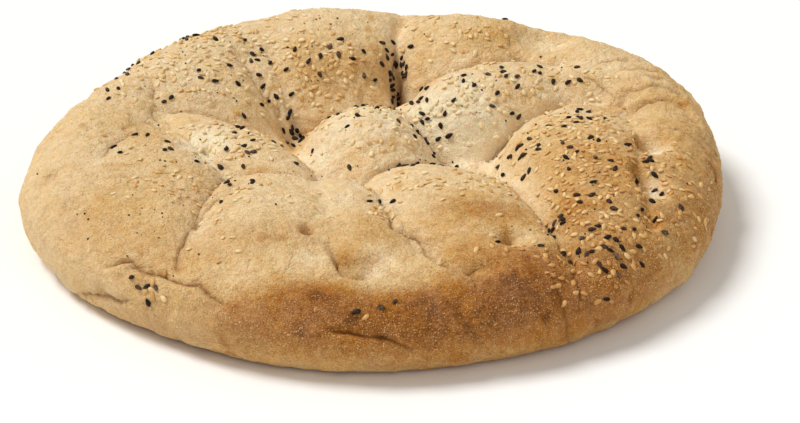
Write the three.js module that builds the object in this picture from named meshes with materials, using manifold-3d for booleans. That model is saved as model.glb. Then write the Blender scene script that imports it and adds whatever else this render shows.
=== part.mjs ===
// Turkish bread: a round flat loaf, pressed with the fingertips into plump lobes before baking,
// with a high rim, a wall that rolls over at the top and tucks under at the foot, and sesame
// and nigella seeds baked into the crust. Units are mm, +Z is up and the front faces -Y.
// The origin is the middle of the loaf on the surface it rests on.
import * as THREE from 'three';
import { mergeVertices } from 'three/addons/utils/BufferGeometryUtils.js';
import Module from 'manifold-3d';

// Plan of the loaf: a slightly squared ellipse with a few gentle waves in its edge.
const LENGTH = 286.4;
const DEPTH = 263.4;
const SQUARENESS = 2.05;
const EDGE_WAVES = [
  { waves: 2, size: 1.7, turn: 84 },
  { waves: 3, size: 2.2, turn: 93 },
  { waves: 4, size: 2.2, turn: 93 },
  { waves: 5, size: 2.1, turn: -161 },
];

// Wall: rolls over at the top, is widest at WIDEST_HEIGHT and tucks under to the base.
const WIDEST_HEIGHT = 15;
const ROLL_WIDTH = 32;
const ROLL_POWER = 2.2;
const TUCK_WIDTH = 12;
const TUCK_POWER = 2;

// Floor of the creases: low in the middle of the loaf and higher towards the rim.
const FLOOR_MIDDLE = 14;
const FLOOR_RISE = 15;
const FLOOR_RADIUS = 105;

// Rim: a ring of dough inside the edge, highest at the back.
const RIM_HEIGHT = 39.5;
const RIM_BACK_RISE = 7.5;
const RIM_RIGHT_RISE = 0.5;
const RIM_INSET = 20;
const RIM_WIDTH = 36;
const RIM_POWER = 2.4;

// Lobes: rounded pillows of dough, with half widths along their own turned axes.
const LOBES = [
  { name: 'back middle', at: [-22, 108], half: [48, 60], turn: 2, height: 49, fullness: 2.4 },
  { name: 'back right', at: [40, 101], half: [45, 49], turn: 0, height: 48.5, fullness: 2.4 },
  { name: 'middle', at: [-4, 19], half: [32, 36], turn: 0, height: 37, fullness: 2.2 },
  { name: 'middle right', at: [49, 51], half: [52, 30], turn: 16, height: 43, fullness: 2.4 },
  { name: 'middle right, end', at: [87, 52], half: [28, 17], turn: -22, height: 41.5, fullness: 2.6 },
  { name: 'right', at: [84, -21], half: [39, 79], turn: 6, height: 42, fullness: 2.6 },
  { name: 'front right', at: [29, -53], half: [42, 66], turn: 24, height: 38.5, fullness: 2.4 },
  { name: 'front left', at: [-41, -59], half: [38, 54], turn: 4, height: 40, fullness: 2.4 },
  { name: 'front', at: [-11, -61], half: [31, 56], turn: 14, height: 37.5, fullness: 2.4 },
  { name: 'left', at: [-98, -30], half: [42, 66], turn: 6, height: 38.5, fullness: 3 },
  { name: 'middle left', at: [-63, 5], half: [56, 25], turn: -40, height: 36, fullness: 3 },
  { name: 'back left', at: [-86, 80], half: [54, 60], turn: 32, height: 45, fullness: 2.4 },
];
const LOBE_BLEND = 2.4;

// Dents that a fingertip left, as wide as half says.
const DENTS = [
  { name: 'right, upper', at: [108, -9], half: [4, 7], turn: 0, depth: 8 },
  { name: 'right, middle', at: [104, -41], half: [4, 8], turn: 0, depth: 8 },
  { name: 'right, lower', at: [104, -64], half: [4, 8], turn: 0, depth: 4 },
  { name: 'front', at: [-6, -103], half: [8, 6], turn: 15, depth: 8 },
  { name: 'front left', at: [-28, -81], half: [4, 4], turn: 0, depth: 3 },
  { name: 'front right', at: [20, -88], half: [3.5, 5], turn: 10, depth: 4 },
  { name: 'front right, outer', at: [50, -86], half: [7, 5], turn: 0, depth: 5 },
  { name: 'back left', at: [-50, 61], half: [4, 5], turn: 0, depth: 4 },
  { name: 'left of the middle', at: [-88, 36], half: [5, 12], turn: -20, depth: 1.2 },
  { name: 'back right', at: [74, 87], half: [13, 10], turn: 0, depth: 8 },
  { name: 'left', at: [-119, -52], half: [5, 4], turn: 0, depth: 4 },
  { name: 'left, outer', at: [-131, -29], half: [5, 4], turn: 0, depth: 4 },
  { name: 'right, back', at: [103, 33], half: [5, 5], turn: 0, depth: 2.5 },
  { name: 'right, notch', at: [103, 19], half: [4, 4], turn: 0, depth: 4 },
  { name: 'beside the middle', at: [-35, 45], half: [7, 9], turn: 0, depth: 5 },
  { name: 'foot of the back crease', at: [8, 76], half: [5, 9], turn: 0, depth: 7 },
  { name: 'between left and middle left', at: [-70, -5], half: [4, 4], turn: 0, depth: 1.5 },
];

// Creases between the lobes, each a valley along a line of a few points.
const CREASES = [
  { name: 'back', depth: 5.5, width: 4, line: [[11, 102], [8, 88], [8, 76], [10, 64]] },
  { name: 'middle, right side', depth: 4, width: 4, line: [[8, 66], [18, 46], [31, 6]] },
  { name: 'middle, left side', depth: 4, width: 4, line: [[-36, 36], [-26, 11], [-15, -13]] },
  {
    name: 'right, back',
    depth: 4,
    width: 4.5,
    line: [[42, 6], [58, 26], [84, 40], [96, 38], [106, 30]],
  },
  { name: 'right, front', depth: 4, width: 4, line: [[46, 0], [57, -30], [68, -80], [72, -104]] },
  { name: 'right, outer', depth: 1.6, width: 4, line: [[104, 16], [107, -9], [102, -40], [104, -68]] },
  { name: 'front', depth: 2.5, width: 4, line: [[-13, -13], [0, -44], [5, -76], [15, -81], [20, -88]] },
  {
    name: 'front left',
    depth: 3,
    width: 4,
    line: [[-27, -40], [-52, -36], [-65, -54], [-71, -75], [-75, -98]],
  },
  {
    name: 'left',
    depth: 1.6,
    width: 4,
    line: [[-111, -20], [-101, 4], [-90, 11], [-81, 5], [-67, -14]],
  },
  { name: 'back left', depth: 4, width: 4.5, line: [[-58, 72], [-50, 61], [-39, 46]] },
  { name: 'left of the middle', depth: 1.5, width: 4, line: [[-95, 47], [-91, 28], [-87, 14]] },
  { name: 'front rim', depth: 2.5, width: 4, line: [[20, -90], [25, -100], [33, -105], [42, -104]] },
  { name: 'right rim', depth: 3, width: 4, line: [[103, 34], [112, 36], [124, 35]] },
];
const CREASE_SHARPNESS = 1.6;

// Seeds: the largest of the many on the loaf, more of them where the real loaf has more.
const SEED_LENGTH = 3.2;
const SEED_WIDTH = 2.1;
const SEED_THICKNESS = 1.7;
const SEED_TAPER = 0.3;
const SEED_SPACING = 6;
const SEED_TRIES = 40;
const SEED_DRAW_START = 20261;
const SEED_PATCHES = [
  { name: 'right', at: [86, -22], half: [26, 44], count: 22 },
  { name: 'front right', at: [85, -84], half: [18, 20], count: 12 },
  { name: 'back left rim', at: [-62, 92], half: [38, 22], count: 16 },
  { name: 'back middle', at: [-18, 78], half: [24, 16], count: 10 },
  { name: 'back crease', at: [14, 80], half: [10, 14], count: 5 },
  { name: 'middle', at: [-6, 22], half: [24, 22], count: 9 },
  { name: 'middle right', at: [46, 40], half: [32, 16], count: 10 },
  { name: 'middle left', at: [-58, 8], half: [30, 22], count: 9 },
  { name: 'left', at: [-88, -22], half: [26, 24], count: 5 },
  { name: 'front', at: [24, -44], half: [26, 20], count: 6 },
  { name: 'front left', at: [-44, -52], half: [26, 18], count: 4 },
];

// Facets: rings of the grid that lie on the top, on the roll over the edge and under the tuck.
const TOP_RINGS = 20;
const ROLL_RINGS = 6;
const TUCK_RINGS = 4;
const RINGS = TOP_RINGS + ROLL_RINGS + TUCK_RINGS;
const CELLS = 2 * RINGS;
const MERGE_DISTANCE = 1e-3;

const CRUST_COLOUR = 0xd9b47a;

const wasm = await Module();
wasm.setup();

function radians(degrees) {
  return THREE.MathUtils.degToRad(degrees);
}

// Distance from the middle of the loaf to its widest line, in the given direction.
function edgeRadius(angle) {
  const across = Math.abs(Math.cos(angle) / (LENGTH / 2)) ** SQUARENESS;
  const along = Math.abs(Math.sin(angle) / (DEPTH / 2)) ** SQUARENESS;
  let radius = (across + along) ** (-1 / SQUARENESS);
  for (const { waves, size, turn } of EDGE_WAVES) {
    radius += size * Math.cos(waves * angle - radians(turn));
  }
  return radius;
}

// Distance from the middle of a turned ellipse, where 1 is its edge.
function ellipseDistance(x, y, { at, half, turn = 0 }) {
  const cos = Math.cos(radians(turn));
  const sin = Math.sin(radians(turn));
  const across = (x - at[0]) * cos + (y - at[1]) * sin;
  const along = (y - at[1]) * cos - (x - at[0]) * sin;
  return Math.hypot(across / half[0], along / half[1]);
}

function distanceToLine(x, y, line) {
  let nearest = Infinity;
  for (let i = 1; i < line.length; i += 1) {
    const [startX, startY] = line[i - 1];
    const stepX = line[i][0] - startX;
    const stepY = line[i][1] - startY;
    const along = ((x - startX) * stepX + (y - startY) * stepY) / (stepX ** 2 + stepY ** 2);
    const share = THREE.MathUtils.clamp(along, 0, 1);
    nearest = Math.min(nearest, Math.hypot(x - startX - share * stepX, y - startY - share * stepY));
  }
  return nearest;
}

// The highest of several heights, with the corner between the two highest rounded off.
function blendedHighest(heights) {
  const highest = Math.max(...heights);
  const sum = heights.reduce((total, height) => total + Math.exp((height - highest) / LOBE_BLEND), 0);
  return highest + LOBE_BLEND * Math.log(sum);
}

function rimHeight(x, y, floor) {
  const angle = Math.atan2(y, x);
  const crest = RIM_HEIGHT + RIM_BACK_RISE * Math.sin(angle) + RIM_RIGHT_RISE * Math.cos(angle);
  const fromCrest = Math.abs(Math.hypot(x, y) - (edgeRadius(angle) - RIM_INSET)) / RIM_WIDTH;
  return floor + (crest - floor) * (1 - fromCrest ** RIM_POWER);
}

// Height of the top of the dough before its edge rolls over.
function doughHeight(x, y) {
  const floor = FLOOR_MIDDLE + FLOOR_RISE * Math.min(Math.hypot(x, y) / FLOOR_RADIUS, 1) ** 2;
  const heights = [floor, rimHeight(x, y, floor)];
  for (const lobe of LOBES) {
    const fromMiddle = ellipseDistance(x, y, lobe);
    heights.push(floor + (lobe.height - floor) * (1 - fromMiddle ** lobe.fullness));
  }
  let height = blendedHighest(heights);
  for (const dent of DENTS) {
    height -= dent.depth * Math.exp(-(ellipseDistance(x, y, dent) ** 2));
  }
  for (const { depth, width, line } of CREASES) {
    const away = (distanceToLine(x, y, line) / width) * CREASE_SHARPNESS;
    height -= depth * Math.exp(1 - Math.sqrt(1 + away ** 2));
  }
  return height;
}

// A point of the square grid as a direction and a ring: 0 in the middle, 1 on the outside.
function squareToRing(u, v) {
  const ring = Math.max(Math.abs(u), Math.abs(v));
  if (ring === 0) return { ring, angle: 0 };
  if (Math.abs(u) >= Math.abs(v)) {
    return { ring, angle: (Math.PI / 4) * (v / u) + (u < 0 ? Math.PI : 0) };
  }
  return { ring, angle: Math.PI / 2 - (Math.PI / 4) * (u / v) + (v < 0 ? Math.PI : 0) };
}

// The crust along one direction: over the top, round the roll and under the tuck.
function crustPoint(ringNumber, angle) {
  const edge = edgeRadius(angle);
  const flat = edge - ROLL_WIDTH;
  const roll = THREE.MathUtils.clamp((ringNumber - TOP_RINGS) / ROLL_RINGS, 0, 1) * (Math.PI / 2);
  const tuck = Math.max((ringNumber - TOP_RINGS - ROLL_RINGS) / TUCK_RINGS, 0) * (Math.PI / 2);
  let radius = flat * Math.min(ringNumber / TOP_RINGS, 1) + ROLL_WIDTH * Math.sin(roll) ** (2 / ROLL_POWER);
  const dough = doughHeight(radius * Math.cos(angle), radius * Math.sin(angle));
  let height = WIDEST_HEIGHT + (dough - WIDEST_HEIGHT) * Math.abs(Math.cos(roll)) ** (2 / ROLL_POWER);
  if (tuck > 0) {
    radius = edge - TUCK_WIDTH * (1 - Math.abs(Math.cos(tuck)) ** (2 / TUCK_POWER));
    height = WIDEST_HEIGHT * (1 - Math.sin(tuck) ** (2 / TUCK_POWER));
  }
  return [radius * Math.cos(angle), radius * Math.sin(angle), height];
}

// Crust point at a place of the square grid, whose middle is 0, 0 and whose edges are at 1.
function crustAt(u, v) {
  const { ring, angle } = squareToRing(u, v);
  return new THREE.Vector3(...crustPoint(ring * RINGS, angle));
}

// Triangles over the grid, each square split along the diagonal that lies nearer the crust.
function crustTriangles(points) {
  const triangles = [];
  for (let row = 0; row < CELLS; row += 1) {
    for (let column = 0; column < CELLS; column += 1) {
      const a = row * (CELLS + 1) + column;
      const [b, c, d] = [a + CELLS + 1, a + CELLS + 2, a + 1];
      const middle = crustAt((2 * column + 1) / CELLS - 1, 1 - (2 * row + 1) / CELLS);
      const awayFrom = (p, q) => middle.distanceTo(points[p].clone().lerp(points[q], 0.5));
      if (awayFrom(a, c) < awayFrom(b, d)) triangles.push(a, b, c, a, c, d);
      else triangles.push(a, b, d, b, c, d);
    }
  }
  return triangles;
}

// Triangles that close the loaf underneath, inside the outer ring of the grid.
function baseTriangles(points) {
  const ring = [];
  for (let i = 0; i < CELLS; i += 1) ring.push(i);
  for (let i = 0; i < CELLS; i += 1) ring.push(i * (CELLS + 1) + CELLS);
  for (let i = CELLS; i > 0; i -= 1) ring.push(CELLS * (CELLS + 1) + i);
  for (let i = CELLS; i > 0; i -= 1) ring.push(i * (CELLS + 1));
  const outline = ring.map((vertex) => new THREE.Vector2(points[vertex].x, points[vertex].y));
  const faces = THREE.ShapeUtils.triangulateShape(outline, []);
  return faces.flatMap((face) => {
    const facesDown = THREE.ShapeUtils.isClockWise(face.map((corner) => outline[corner]));
    const corners = facesDown ? face : [...face].reverse();
    return corners.map((corner) => ring[corner]);
  });
}

// The bare crust, with its middle above the origin and its base at the origin's height.
function crustGeometry() {
  const grid = new THREE.PlaneGeometry(2, 2, CELLS, CELLS).attributes.position;
  const points = Array.from({ length: grid.count }, (_, i) => crustAt(grid.getX(i), grid.getY(i)));
  const geometry = new THREE.BufferGeometry().setFromPoints(points);
  geometry.setIndex([...crustTriangles(points), ...baseTriangles(points)]);
  geometry.computeBoundingBox();
  const middle = geometry.boundingBox.getCenter(new THREE.Vector3());
  geometry.translate(-middle.x, -middle.y, -geometry.boundingBox.min.z);
  geometry.computeBoundingBox();
  return geometry;
}

// Random numbers from 0 to 1 that are the same on each run.
function randomDraws(start) {
  let state = start;
  return () => {
    state = (state * 16807) % 2147483647;
    return state / 2147483647;
  };
}

// Places for the seeds as seen from above, each clear of the ones before it.
function seedPlaces(draw) {
  const places = [];
  for (const { at, half, count } of SEED_PATCHES) {
    for (let placed = 0, tries = 0; placed < count && tries < count * SEED_TRIES; tries += 1) {
      const angle = draw() * 2 * Math.PI;
      const reach = Math.sqrt(draw());
      const x = at[0] + half[0] * reach * Math.cos(angle);
      const y = at[1] + half[1] * reach * Math.sin(angle);
      if (places.every((other) => Math.hypot(other[0] - x, other[1] - y) > SEED_SPACING)) {
        places.push([x, y]);
        placed += 1;
      }
    }
  }
  return places;
}

// One seed: flat, round at one end and pointed at the other.
function seedGeometry() {
  const geometry = new THREE.SphereGeometry(0.5, 6, 3);
  geometry.rotateZ(-Math.PI / 2);
  const positions = geometry.attributes.position;
  for (let i = 0; i < positions.count; i += 1) {
    const along = positions.getX(i);
    const narrow = 1 - SEED_TAPER * (along + 0.5);
    positions.setXYZ(
      i,
      along * SEED_LENGTH,
      positions.getY(i) * SEED_WIDTH * narrow,
      positions.getZ(i) * SEED_THICKNESS * narrow,
    );
  }
  return geometry;
}

function solidOf(geometry) {
  const bare = geometry.clone();
  bare.deleteAttribute('normal');
  bare.deleteAttribute('uv');
  const merged = mergeVertices(bare, MERGE_DISTANCE);
  return new wasm.Manifold(new wasm.Mesh({
    numProp: 3,
    vertProperties: new Float32Array(merged.attributes.position.array),
    triVerts: new Uint32Array(merged.index.array),
  }));
}

function geometryOf(solid) {
  const mesh = solid.getMesh();
  const geometry = new THREE.BufferGeometry();
  geometry.setAttribute('position', new THREE.BufferAttribute(new Float32Array(mesh.vertProperties), 3));
  geometry.setIndex(new THREE.BufferAttribute(new Uint32Array(mesh.triVerts), 1));
  geometry.computeVertexNormals();
  return geometry;
}

// Lays a seed flat on the crust at the given place, half sunk in it.
function seedSolid(crust, place, draw) {
  const top = crust.geometry.boundingBox.max.z + 1;
  const ray = new THREE.Raycaster(new THREE.Vector3(place[0], place[1], top), new THREE.Vector3(0, 0, -1));
  const [hit] = ray.intersectObject(crust);
  const lean = new THREE.Quaternion().setFromUnitVectors(new THREE.Vector3(0, 0, 1), hit.face.normal);
  const geometry = seedGeometry();
  geometry.rotateZ(draw() * 2 * Math.PI);
  geometry.applyQuaternion(lean);
  geometry.translate(hit.point.x, hit.point.y, hit.point.z);
  return solidOf(geometry);
}

function bread() {
  const crust = new THREE.Mesh(crustGeometry());
  const draw = randomDraws(SEED_DRAW_START);
  let solid = solidOf(crust.geometry);
  for (const place of seedPlaces(draw)) {
    solid = solid.add(seedSolid(crust, place, draw));
  }
  const material = new THREE.MeshStandardMaterial({ color: CRUST_COLOUR, roughness: 0.8, metalness: 0 });
  const mesh = new THREE.Mesh(geometryOf(solid), material);
  mesh.name = 'bread';
  return mesh;
}

const loaf = new THREE.Group();
loaf.add(bread());

export default loaf;
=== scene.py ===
import math
import random

import bpy
import numpy as np
from mathutils import Matrix, Vector, noise


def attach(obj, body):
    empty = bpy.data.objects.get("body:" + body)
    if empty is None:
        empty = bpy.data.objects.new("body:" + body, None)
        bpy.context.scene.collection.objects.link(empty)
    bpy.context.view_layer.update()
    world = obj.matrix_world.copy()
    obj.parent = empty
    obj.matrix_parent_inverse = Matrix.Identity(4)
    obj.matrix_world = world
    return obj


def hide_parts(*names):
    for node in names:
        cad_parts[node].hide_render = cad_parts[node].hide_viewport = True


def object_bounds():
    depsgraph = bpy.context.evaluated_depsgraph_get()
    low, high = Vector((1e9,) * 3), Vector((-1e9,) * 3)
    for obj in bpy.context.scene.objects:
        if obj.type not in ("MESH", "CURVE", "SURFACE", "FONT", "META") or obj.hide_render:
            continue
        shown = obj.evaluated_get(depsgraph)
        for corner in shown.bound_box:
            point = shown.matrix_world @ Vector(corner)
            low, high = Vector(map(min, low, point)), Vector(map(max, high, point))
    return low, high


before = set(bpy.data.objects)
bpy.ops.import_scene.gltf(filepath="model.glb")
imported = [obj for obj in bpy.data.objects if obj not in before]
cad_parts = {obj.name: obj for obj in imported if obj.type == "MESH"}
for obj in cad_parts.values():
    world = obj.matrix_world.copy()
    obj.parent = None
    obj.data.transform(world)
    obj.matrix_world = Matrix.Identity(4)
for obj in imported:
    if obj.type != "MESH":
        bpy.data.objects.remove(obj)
cad_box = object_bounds()
bpy.ops.object.select_all(action="DESELECT")
MM = 0.001


# ---- The loaf -------------------------------------------------------------------------------
# A round flat loaf of risen wheat dough, pressed with the fingertips into plump lobes and baked
# on a hot floor. Its crust rolls over from a high rim, tucks under at the foot and is flat below.
# Sizes are in mm, from the middle of the dough; turns are in degrees.
LENGTH = 286.4
DEPTH = 263.4
SQUARENESS = 2.05
EDGE_WAVES = [(2, 1.7, 84), (3, 2.2, 93), (4, 2.2, 93), (5, 2.1, -161)]

WIDEST_HEIGHT = 15
ROLL_WIDTH = 32
ROLL_POWER = 2.2
TUCK_WIDTH = 12
TUCK_POWER = 2

FLOOR_MIDDLE = 14
FLOOR_RISE = 15
FLOOR_RADIUS = 105

RIM_HEIGHT = 39.5
RIM_BACK_RISE = 7.5
RIM_RIGHT_RISE = 0.5
RIM_INSET = 20
RIM_WIDTH = 36
RIM_POWER = 2.4

# Lobes: name, middle, half widths, turn, height, fullness.
LOBES = [
    ("back middle", (-22, 108), (48, 60), 2, 49, 2.4),
    ("back right", (40, 101), (45, 49), 0, 48.5, 2.4),
    ("middle", (-4, 19), (32, 36), 0, 37, 2.2),
    ("middle right", (49, 51), (52, 30), 16, 43, 2.4),
    ("middle right, end", (87, 52), (28, 17), -22, 41.5, 2.6),
    ("right", (84, -21), (39, 79), 6, 42, 2.6),
    ("front right", (29, -53), (42, 66), 24, 38.5, 2.4),
    ("front left", (-41, -59), (38, 54), 4, 40, 2.4),
    ("front", (-11, -61), (31, 56), 14, 37.5, 2.4),
    ("left", (-98, -30), (42, 66), 6, 38.5, 3.0),
    ("middle left", (-63, 5), (56, 25), -40, 36, 3.0),
    ("back left", (-86, 80), (54, 60), 32, 45, 2.4),
]
LOBE_BLEND = 1.15

# Seams where two of these are pressed together: the two, depth and width.
SEAMS = [
    ("back middle", "middle", 2.0, 1.6),
    ("back middle", "back right", 4.0, 2.0),
    ("back middle", "floor", 1.2, 2.0),
    ("back right", "middle right", 3.0, 1.6),
    ("back right", "middle", 3.0, 1.6),
    ("middle", "middle right", 2.6, 1.4),
    ("middle", "middle left", 3.0, 1.4),
    ("middle", "front", 2.0, 1.4),
    ("middle", "front right", 3.0, 1.4),
    ("middle right", "right", 3.0, 1.4),
    ("middle right", "rim", 1.0, 1.5),
    ("right", "front right", 2.6, 1.2),
    ("right", "rim", 0.6, 1.8),
    ("front", "front right", 0.5, 1.3),
    ("front", "rim", 0.7, 1.6),
    ("front right", "rim", 0.3, 1.6),
    ("front left", "left", 1.8, 1.2),
    ("front left", "middle left", 2.0, 1.2),
    ("front", "middle left", 3.0, 1.4),
    ("left", "middle left", 0.8, 1.3),
    ("left", "rim", 0.8, 1.6),
    ("back left", "middle left", 2.0, 1.5),
    ("back left", "back middle", 0.8, 1.6),
]
SEAM_FADE = 1.2
SEAM_PROBE = 0.25
LEAST_SLOPE = 0.05
LEAST_MARK = 0.3
DEEP_SEAM = 3.2
LINE_REACH = 4.0

# Dents that a fingertip left: name, middle, half widths, turn, depth.
DENTS = [
    ("right, upper", (107, -9), (2.8, 5), 0, 12),
    ("right, upper, open side", (112, -11), (5, 7), 0, 6),
    ("right, middle", (102.5, -40), (3, 8.5), 0, 11),
    ("right, middle, open side", (108, -44), (5, 9), 0, 6),
    ("right, lower", (104, -64), (3.5, 8), 0, 4),
    ("front", (-6, -103), (8, 5.5), 15, 9),
    ("front left", (-28, -81), (2, 2.4), 0, 6),
    ("front right", (20, -88), (3, 5), 10, 6),
    ("front right, outer", (51, -86), (9, 6), 0, 3),
    ("front right, pit", (49, -85), (2.3, 3), 0, 8),
    ("back left", (-50, 61), (3, 4), 0, 4),
    ("left of the middle", (-88, 36), (5, 12), -20, 1.2),
    ("back right", (74, 87), (13, 10), 0, 8),
    ("left", (-119, -52), (5, 4), 0, 5),
    ("left, outer", (-131, -29), (5, 4), 0, 5),
    ("right, back", (103, 33), (4, 5), 0, 2.5),
    ("right, notch", (103, 19), (3, 3.5), 0, 4.5),
    ("beside the middle", (-35, 45), (7, 9), 0, 5),
    ("foot of the back crease", (8, 76), (4.5, 9), 0, 7),
    ("between left and middle left", (-70, -5), (2, 3), 0, 3),
]
DENT_STEEPNESS = 2.8

# Creases between the lobes: name, depth, width, line.
CREASES = [
    ("back", 5.5, 3, [(11, 102), (8, 88), (8, 76), (10, 64)]),
    ("middle, right side", 4, 4, [(8, 66), (18, 46), (31, 6)]),
    ("middle, left side", 4, 4, [(-36, 36), (-26, 11), (-15, -13)]),
    ("right, back", 3.5, 4, [(42, 6), (58, 26), (84, 40), (96, 38), (106, 30)]),
    ("right, front", 3.6, 4, [(46, 0), (57, -30), (68, -80), (72, -104)]),
    ("right, outer", 1.6, 4, [(104, 16), (107, -9), (102, -40), (104, -68)]),
    ("front", 1.4, 2.5, [(-13, -13), (0, -44), (5, -76), (15, -81), (20, -88)]),
    ("front left", 2.5, 4, [(-27, -40), (-52, -36), (-65, -54), (-71, -75), (-75, -98)]),
    ("left", 1.2, 3, [(-111, -20), (-106, -5), (-101, 4), (-90, 11), (-81, 5), (-73, -3), (-67, -14)]),
    ("back left", 3.5, 4, [(-58, 72), (-50, 61), (-39, 46)]),
    ("left of the middle", 1.4, 3, [(-95, 47), (-91, 28), (-87, 14)]),
    ("front rim", 2.5, 3, [(18, -90), (25, -100), (33, -105), (42, -104)]),
    ("right rim", 3, 3, [(103, 34), (112, 36), (124, 35)]),
]
CREASE_SHARPNESS = 1.6

# Rings of the crust's net of squares: over the top, round the roll, under the tuck, and the base.
TOP_RINGS = 100
ROLL_RINGS = 38
TUCK_RINGS = 12
BASE_RINGS = 5
RINGS = TOP_RINGS + ROLL_RINGS + TUCK_RINGS + BASE_RINGS


def edge_radius(angle):
    across = np.abs(np.cos(angle) / (LENGTH / 2)) ** SQUARENESS
    along = np.abs(np.sin(angle) / (DEPTH / 2)) ** SQUARENESS
    radius = (across + along) ** (-1 / SQUARENESS)
    for waves, size, turn in EDGE_WAVES:
        radius = radius + size * np.cos(waves * angle - math.radians(turn))
    return radius


def ellipse_distance(x, y, middle, half, turn=0):
    """How far a point is from the middle of a turned ellipse, where 1 is its edge."""
    cos, sin = math.cos(math.radians(turn)), math.sin(math.radians(turn))
    across = (x - middle[0]) * cos + (y - middle[1]) * sin
    along = (y - middle[1]) * cos - (x - middle[0]) * sin
    return np.hypot(across / half[0], along / half[1])


def nearest_on_line(points, line):
    """How far points are from a line of a few corners, and where and which way it runs there."""
    corners = np.array(line, float)
    best = np.full(len(points), np.inf)
    places, ways = np.zeros(points.shape), np.zeros(points.shape)
    for start, end in zip(corners[:-1], corners[1:]):
        step = end - start
        share = np.clip((points - start) @ step / (step @ step), 0, 1)
        place = start + share[:, None] * step
        away = np.linalg.norm(points - place, axis=1)
        closer = away < best
        best[closer] = away[closer]
        places[closer] = place[closer]
        ways[closer] = step
    return best, places, ways


def crease_depth(x, y):
    flat = np.stack([x, y], axis=-1)
    total = np.zeros(len(flat))
    for name, depth, width, line in CREASES:
        away = nearest_on_line(flat, line)[0] / width * CREASE_SHARPNESS
        total += depth * np.exp(1 - np.sqrt(1 + away**2))
    return total


def lobe_heights(x, y):
    """Height of each thing that the top of the dough is the highest of, by name."""
    radius, angle = np.hypot(x, y), np.arctan2(y, x)
    floor = FLOOR_MIDDLE + FLOOR_RISE * np.minimum(radius / FLOOR_RADIUS, 1) ** 2
    crest = RIM_HEIGHT + RIM_BACK_RISE * np.sin(angle) + RIM_RIGHT_RISE * np.cos(angle)
    from_crest = np.abs(radius - (edge_radius(angle) - RIM_INSET)) / RIM_WIDTH
    heights = {"floor": floor, "rim": floor + (crest - floor) * (1 - from_crest**RIM_POWER)}
    for name, middle, half, turn, height, fullness in LOBES:
        away = ellipse_distance(x, y, middle, half, turn)
        heights[name] = floor + (height - floor) * (1 - away**fullness)
    return heights


def seams_at(x, y):
    """How deep the dough is pressed in along its seams, how far the nearest is, and how marked."""
    step = SEAM_PROBE
    heights = lobe_heights(x, y)
    right, left = lobe_heights(x + step, y), lobe_heights(x - step, y)
    back, front = lobe_heights(x, y + step), lobe_heights(x, y - step)
    highest = np.max(list(heights.values()), axis=0)
    total, line, mark = np.zeros(len(x)), np.full(len(x), LINE_REACH), np.zeros(len(x))
    for one, other, depth, width in SEAMS:
        apart = heights[one] - heights[other]
        slope_x = (right[one] - right[other] - left[one] + left[other]) / (2 * step)
        slope_y = (back[one] - back[other] - front[one] + front[other]) / (2 * step)
        slope = np.hypot(slope_x, slope_y)
        away = apart / np.maximum(slope, LEAST_SLOPE)
        hidden = highest - np.maximum(heights[one], heights[other])
        pressed = depth * np.minimum(slope, 1) * np.exp(-hidden / SEAM_FADE)
        total += pressed * np.exp(-((away / width) ** 2))
        closer = (np.abs(away) < np.abs(line)) & (pressed > LEAST_MARK)
        line[closer], mark[closer] = away[closer], pressed[closer] / DEEP_SEAM
    return total, line, mark


def dough_height(x, y):
    """Height of the top of the dough, before its edge rolls over."""
    heights = list(lobe_heights(x, y).values())
    highest = np.max(heights, axis=0)
    blend = sum(np.exp((height - highest) / LOBE_BLEND) for height in heights)
    result = highest + LOBE_BLEND * np.log(blend)
    for name, middle, half, turn, depth in DENTS:
        away = ellipse_distance(x, y, middle, half, turn)
        result = result - depth * np.exp(-(away**DENT_STEEPNESS))
    return result - crease_depth(x, y)


def unevenness(points, size, seed):
    """Smooth lumps of about this size in mm, from -1 to 1, the same on each run."""
    shift = Vector((seed * 17.3, seed * 5.1, seed * 9.7))
    scaled = points / np.array(size)
    return np.array([noise.noise(Vector(point) + shift) for point in scaled])


def square_to_ring(u, v):
    """A place in a square as a ring, 0 in the middle to 1 outside, and a direction."""
    ring = np.maximum(np.abs(u), np.abs(v))
    wide = np.abs(u) >= np.abs(v)
    safe_u = np.where(u == 0, 1, u)
    safe_v = np.where(v == 0, 1, v)
    beside = math.pi / 4 * (v / safe_u) + np.where(u < 0, math.pi, 0)
    above = math.pi / 2 - math.pi / 4 * (u / safe_v) + np.where(v < 0, math.pi, 0)
    return ring, np.where(wide, beside, above)


def read_points(mesh):
    points = np.empty(len(mesh.vertices) * 3)
    mesh.vertices.foreach_get("co", points)
    return points.reshape(-1, 3)


def write_points(mesh, points):
    mesh.vertices.foreach_set("co", points.ravel())
    mesh.update()


def read_normals(mesh):
    normals = np.empty(len(mesh.vertices) * 3)
    mesh.vertex_normals.foreach_get("vector", normals)
    return normals.reshape(-1, 3)


def read_shade(mesh, name):
    values = np.empty(len(mesh.vertices))
    mesh.attributes[name].data.foreach_get("value", values)
    return values


def write_shade(mesh, name, values):
    """Keeps one number for each point, which the material reads by its name."""
    layer = mesh.attributes.get(name) or mesh.attributes.new(name, "FLOAT", "POINT")
    layer.data.foreach_set("value", values)


bpy.ops.mesh.primitive_grid_add(x_subdivisions=2 * RINGS, y_subdivisions=2 * RINGS, size=2)
crust = bpy.context.active_object
crust.name = "crust"
crust.data.name = "crust"
square = read_points(crust.data)
share, angle = square_to_ring(square[:, 0], square[:, 1])
ring = np.round(share * RINGS)

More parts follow.
